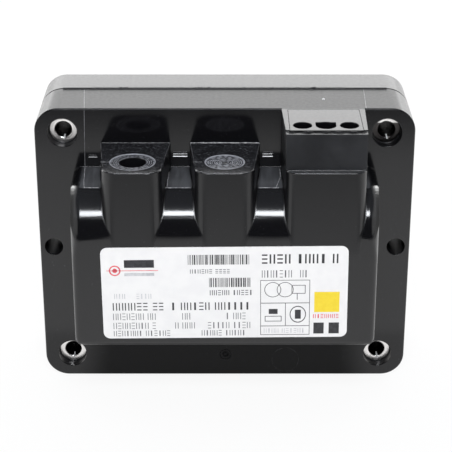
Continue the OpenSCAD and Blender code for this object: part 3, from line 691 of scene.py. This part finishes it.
def chip(name, centre, size, seed):
    """A tiny flake on the case's top."""
    rng = random.Random(seed)
    points = [centre + Vector((0, 0, size * 0.5))]
    count = 7
    for i in range(count):
        a = 2 * math.pi * i / count
        r = size * rng.uniform(0.35, 0.75)
        points.append(centre + Vector((math.cos(a) * r, math.sin(a) * r, -0.00002)))
    faces = [(0, i + 1, (i + 1) % count + 1) for i in range(count)]
    faces.append(tuple(range(count, 0, -1)))
    return add(name, points, faces, "speck_and_highlight")


chip("flake", at(33.1, -9.4, CASE_H), 0.0009, 41)


# The label's print: bars, blocks and plain shapes, with no lettering

label_low, label_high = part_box("label")
LABEL_MIDDLE = (label_low + label_high) / 2
LABEL_FRONT = label_low.y
LABEL_TURN = math.radians(0.5)


class Print:
    """One ink's plates on the label, in millimetres from the label's middle."""

    def __init__(self, name, finish, lift):
        self.name = name
        self.finish = finish
        self.lift = lift
        self.points = []
        self.faces = []

    def shape(self, outline):
        """A flat plate with the given outline, counter-clockwise seen from the front."""
        first = len(self.points)
        n = len(outline)
        c = math.cos(LABEL_TURN)
        s = math.sin(LABEL_TURN)
        for depth in (0.01, self.lift):
            for u, v in outline:
                x = LABEL_MIDDLE.x + (u * c - v * s) * MM
                z = LABEL_MIDDLE.z + (u * s + v * c) * MM
                self.points.append((x, LABEL_FRONT - depth * MM + 0.00001, z))
        self.faces.append(tuple(first + n + i for i in range(n)))
        for i in range(n):
            j = (i + 1) % n
            self.faces.append((first + i, first + j, first + n + j, first + n + i))

    def block(self, left, right, low, high):
        self.shape([(left, low), (right, low), (right, high), (left, high)])

    def ring(self, u, v, radius, width, start=0, end=360, squash=1.0):
        count = max(6, int((end - start) / 12))
        for i in range(count):
            a = math.radians(start + (end - start) * i / count)
            b = math.radians(start + (end - start) * (i + 1) / count)
            outline = []
            for r, angle in ((radius, a), (radius, b), (radius - width, b), (radius - width, a)):
                outline.append((u + r * math.cos(angle), v + squash * r * math.sin(angle)))
            outline.reverse()
            self.shape(list(reversed(outline)))

    def frame(self, left, right, low, high, width):
        self.block(left, right, high - width, high)
        self.block(left, right, low, low + width)
        self.block(left, left + width, low, high)
        self.block(right - width, right, low, high)

    def words(self, left, right, low, high, pitch, weight, seed, gaps=()):
        """A line of print shown as groups of small upright and level blocks."""
        rng = random.Random(seed)
        u = left
        middle = (low + high) / 2
        until_space = rng.randint(4, 9)
        while u + pitch * 0.5 < right:
            if not any(a < u < b for a, b in gaps):
                wide = pitch * 0.72
                kind = rng.random()
                if kind < 0.5:
                    self.block(u, u + weight, low, high)
                    self.block(u + wide - weight, u + wide, low, high)
                elif kind < 0.75:
                    self.block(u + wide * 0.25, u + wide * 0.25 + weight * 1.7, low, high)
                else:
                    self.block(u, u + wide, high - weight, high)
                    self.block(u, u + wide, middle - weight / 2, middle + weight / 2)
                    self.block(u, u + wide, low, low + weight)
            u += pitch
            until_space -= 1
            if until_space == 0:
                u += pitch * 0.6
                until_space = rng.randint(4, 9)

    def stripes(self, left, right, low, high, seed):
        rng = random.Random(seed)
        u = left
        while u < right:
            wide = rng.choice((0.16, 0.16, 0.3, 0.45))
            self.block(u, min(right, u + wide), low, high)
            u += wide + rng.choice((0.16, 0.25, 0.4))

    def build(self):
        return add(self.name, self.points, self.faces, self.finish)


def u_of(px):
    """Place across the label of a column of the photograph's frame."""
    return (px - 224.6) / 3.08


def v_of(py):
    """Place up the label of a row of the photograph's frame."""
    return (291.75 - py) / 2.70


black = Print("label_print_black", "ink", 0.025)
soft = Print("label_print_soft", "soft_ink", 0.023)
grey = Print("label_print_grey", "grey_ink", 0.022)
red = Print("label_print_red", "red_ink", 0.024)
yellow = Print("label_print_yellow", "yellow_ink", 0.018)

# Upper left: a plain emblem of a disc and bars
red.ring(u_of(114.5), v_of(269.3), 1.9, 0.45)
red.ring(u_of(114.5), v_of(269.3), 0.8, 0.78)
black.block(u_of(124), u_of(154), v_of(266.5), v_of(259))
grey.block(u_of(124), u_of(154), v_of(274.5), v_of(271.5))
red.block(u_of(106), u_of(158), v_of(269.6), v_of(269.0))

# Upper middle: two fields of stripes with small lines under them
black.stripes(u_of(188), u_of(250), v_of(264), v_of(254.5), 51)
soft.words(u_of(190), u_of(231), v_of(272.5), v_of(268.5), 1.25, 0.22, 52)
black.stripes(u_of(209), u_of(250.5), v_of(286), v_of(277), 53)
soft.words(u_of(209.5), u_of(253), v_of(294), v_of(289), 1.35, 0.26, 54)

# Upper right: a bold line and a lighter one
black.words(u_of(262), u_of(338), v_of(263.5), v_of(254.5), 2.5, 0.52, 55)
soft.words(u_of(262), u_of(311), v_of(277), v_of(270), 1.45, 0.22, 56, ((u_of(291), u_of(294)),))

# Ruled box with plain outlines
box_left, box_right = u_of(260.5), u_of(310.5)
black.frame(box_left, box_right, v_of(334), v_of(279.5), 0.18)
black.block(box_left, box_right, v_of(302.5), v_of(301.9))
black.block(box_left, box_right, v_of(325.3), v_of(324.7))
black.block(u_of(285.6), u_of(286.2), v_of(325), v_of(302))
black.ring(u_of(273), v_of(289), 2.75, 0.2)
black.ring(u_of(285.5), v_of(289), 2.75, 0.2)
black.frame(u_of(292), u_of(306), v_of(293), v_of(284.5), 0.2)
black.block(u_of(297.3), u_of(298), v_of(299), v_of(293))
black.frame(u_of(265), u_of(282), v_of(320.5), v_of(315), 0.22)
black.block(u_of(269), u_of(278), v_of(313), v_of(308))
black.ring(u_of(298.5), v_of(313.5), 2.7, 0.3, squash=1.15)
black.block(u_of(295.5), u_of(301.5), v_of(318), v_of(309))
grey.words(u_of(264), u_of(307), v_of(332), v_of(327.5), 1.3, 0.22, 57)

# Right: a plain yellow field, a red line and two dark blocks
yellow.block(u_of(315), u_of(340.5), v_of(311.5), v_of(291.5))
red.words(u_of(314), u_of(341), v_of(317.5), v_of(313.5), 1.25, 0.26, 58)
black.block(u_of(314.5), u_of(325), v_of(333), v_of(322))
black.block(u_of(330), u_of(340.5), v_of(333), v_of(322))

# Lower left: five lines
grey.words(u_of(113), u_of(152), v_of(297), v_of(292), 1.3, 0.22, 59, ((u_of(124), u_of(131)),))
black.words(u_of(111), u_of(253), v_of(308.5), v_of(301), 2.0, 0.36, 60, ((u_of(160), u_of(165)),))
soft.words(u_of(111), u_of(248), v_of(318), v_of(311.5), 1.5, 0.22, 61,
            ((u_of(153), u_of(181)), (u_of(192), u_of(225))))
soft.words(u_of(111), u_of(250), v_of(327), v_of(320.8), 1.5, 0.22, 62,
            ((u_of(155), u_of(170)), (u_of(194), u_of(204))))
soft.words(u_of(111), u_of(248), v_of(334.2), v_of(328.8), 1.4, 0.22, 63, ((u_of(166), u_of(200)),))

for ink in (black, soft, grey, red, yellow):
    ink.build()


# Stage and light

def stage_material(name, shade, glow):
    """Pale matt table. The camera sees it white. Gloss sees it end in front, and sees a painted shadow close
    to the object.
    """
    s = Shader(name, (shade, shade, shade), 0.9)
    emission = s.tree.nodes.new("ShaderNodeEmission")
    dim = s.tree.nodes.new("ShaderNodeEmission")
    dim.inputs["Strength"].default_value = 0.0
    path = s.tree.nodes.new("ShaderNodeLightPath")
    seen = s.math("MAXIMUM", path.outputs["Is Camera Ray"], path.outputs["Is Glossy Ray"])
    seen = s.math("MAXIMUM", seen, path.outputs["Is Transmission Ray"])
    share = s.math("MULTIPLY", seen, glow)
    glow_strength = s.math("ADD", 1.0, s.math("MULTIPLY", path.outputs["Is Glossy Ray"], 0.22))
    s.tree.links.new(glow_strength, emission.inputs["Strength"])
    ahead = s.math("MULTIPLY", s.y, -1.0)
    dark = s.math("MAXIMUM", s.rise(ahead, 0.21, 0.36, 0.0, 0.97), s.rise(ahead, 0.10, 0.26, 0.0, 0.15))
    # Painted shadow: for gloss rays the table is darkened close to the object, less beside it.
    off_x = s.math("SUBTRACT", s.math("ABSOLUTE", s.x), 0.0632)
    off_y = s.math("SUBTRACT", s.math("ABSOLUTE", s.math("ADD", s.y, 0.0315)), 0.0315)
    painted_shadow = s.rise(s.math("MAXIMUM", off_x, off_y), 0.0, 0.010, 0.72, 0.0)
    painted_shadow = s.math("MULTIPLY", painted_shadow, s.rise(s.math("ABSOLUTE", s.x), 0.040, 0.054, 1.0, 0.35))
    dark = s.math("MULTIPLY", s.math("MAXIMUM", dark, painted_shadow), path.outputs["Is Glossy Ray"])
    blend = s.tree.nodes.new("ShaderNodeMixShader")
    lower = s.tree.nodes.new("ShaderNodeMixShader")
    out = s.tree.nodes["Material Output"]
    s.tree.links.new(share, blend.inputs[0])
    s.tree.links.new(s.bsdf.outputs[0], blend.inputs[1])
    s.tree.links.new(emission.outputs[0], blend.inputs[2])
    s.tree.links.new(dark, lower.inputs[0])
    s.tree.links.new(blend.outputs[0], lower.inputs[1])
    s.tree.links.new(dim.outputs[0], lower.inputs[2])
    s.tree.links.new(lower.outputs[0], out.inputs["Surface"])
    return s.material


floor_mesh = bpy.data.meshes.new("floor")
floor_z = cad_bounds[0][2]
size = 6.0
floor_mesh.from_pydata([(-size, -size, floor_z), (size, -size, floor_z), (size, size, floor_z),
                        (-size, size, floor_z)], [], [(0, 1, 2, 3)])
floor = bpy.data.objects.new("floor", floor_mesh)
bpy.context.scene.collection.objects.link(floor)
floor_mesh.materials.append(stage_material("pale_floor", 0.82, 0.91))


def build_world():
    """White where the camera looks, a dim room in front and overhead for reflections."""
    world = bpy.data.worlds.new("studio")
    bpy.context.scene.world = world
    world.use_nodes = True
    tree = world.node_tree
    tree.nodes.clear()

    def value(kind, a, b=0.0, clamp=False):
        node = tree.nodes.new("ShaderNodeMath")
        node.operation = kind
        node.use_clamp = clamp
        for socket, v in ((node.inputs[0], a), (node.inputs[1], b)):
            if isinstance(v, (int, float)):
                socket.default_value = v
            else:
                tree.links.new(v, socket)
        return node.outputs[0]

    def rise(v, low, high, start=0.0, end=1.0):
        node = tree.nodes.new("ShaderNodeMapRange")
        node.interpolation_type = "SMOOTHSTEP"
        tree.links.new(v, node.inputs["Value"])
        node.inputs["From Min"].default_value = low
        node.inputs["From Max"].default_value = high
        node.inputs["To Min"].default_value = start
        node.inputs["To Max"].default_value = end
        return node.outputs["Result"]

    coordinates = tree.nodes.new("ShaderNodeTexCoord")
    split = tree.nodes.new("ShaderNodeSeparateXYZ")
    tree.links.new(coordinates.outputs["Generated"], split.inputs[0])
    x, y, z = split.outputs
    sides = value("MULTIPLY", rise(value("ABSOLUTE", x), 0.45, 0.7), rise(z, 0.45, 0.75, 1.0, 0.0))
    back = value("MULTIPLY", rise(y, 0.0, 0.4), rise(z, 0.6, 0.85, 1.0, 0.0))
    glossy = value("ADD", 0.02, value("MULTIPLY", value("MAXIMUM", sides, back), 0.98))
    path = tree.nodes.new("ShaderNodeLightPath")
    seen = value("MAXIMUM", path.outputs["Is Camera Ray"], path.outputs["Is Transmission Ray"])
    is_glossy = path.outputs["Is Glossy Ray"]
    rest = value("ADD", value("MULTIPLY", is_glossy, glossy), value("MULTIPLY", value("SUBTRACT", 1.0, is_glossy), 0.42))
    strength = value("MAXIMUM", seen, rest)
    background = tree.nodes.new("ShaderNodeBackground")
    background.inputs["Color"].default_value = (1, 1, 1, 1)
    tree.links.new(strength, background.inputs["Strength"])
    out = tree.nodes.new("ShaderNodeOutputWorld")
    tree.links.new(background.outputs[0], out.inputs["Surface"])


build_world()


def softbox(name, place, aim, width, height, radiance, color=(1, 1, 1)):
    """A soft lamp of the given brightness, unseen by the camera."""
    light = bpy.data.lights.new(name, "AREA")
    light.shape = "RECTANGLE"
    light.size = width
    light.size_y = height
    light.energy = radiance * math.pi * width * height
    light.color = color
    lamp = bpy.data.objects.new(name, light)
    bpy.context.scene.collection.objects.link(lamp)
    lamp.location = place
    lamp.rotation_euler = (Vector(aim) - Vector(place)).to_track_quat("-Z", "Y").to_euler()
    lamp.visible_camera = False
    return lamp


softbox("front_softbox", (0, -0.92, 1.02), (0, -0.05, 0.03), 0.56, 0.27, 29.0, (0.93, 0.955, 1.0))
softbox("rear_softbox", (0, 1.25, 0.62), (0, -0.02, 0.05), 3.0, 1.0, 2.5)
for side in (-1, 1):
    softbox("side_panel", (side * 0.84, 0.72, 0.17), (0, -0.04, 0.03), 0.62, 0.40, 7.0)
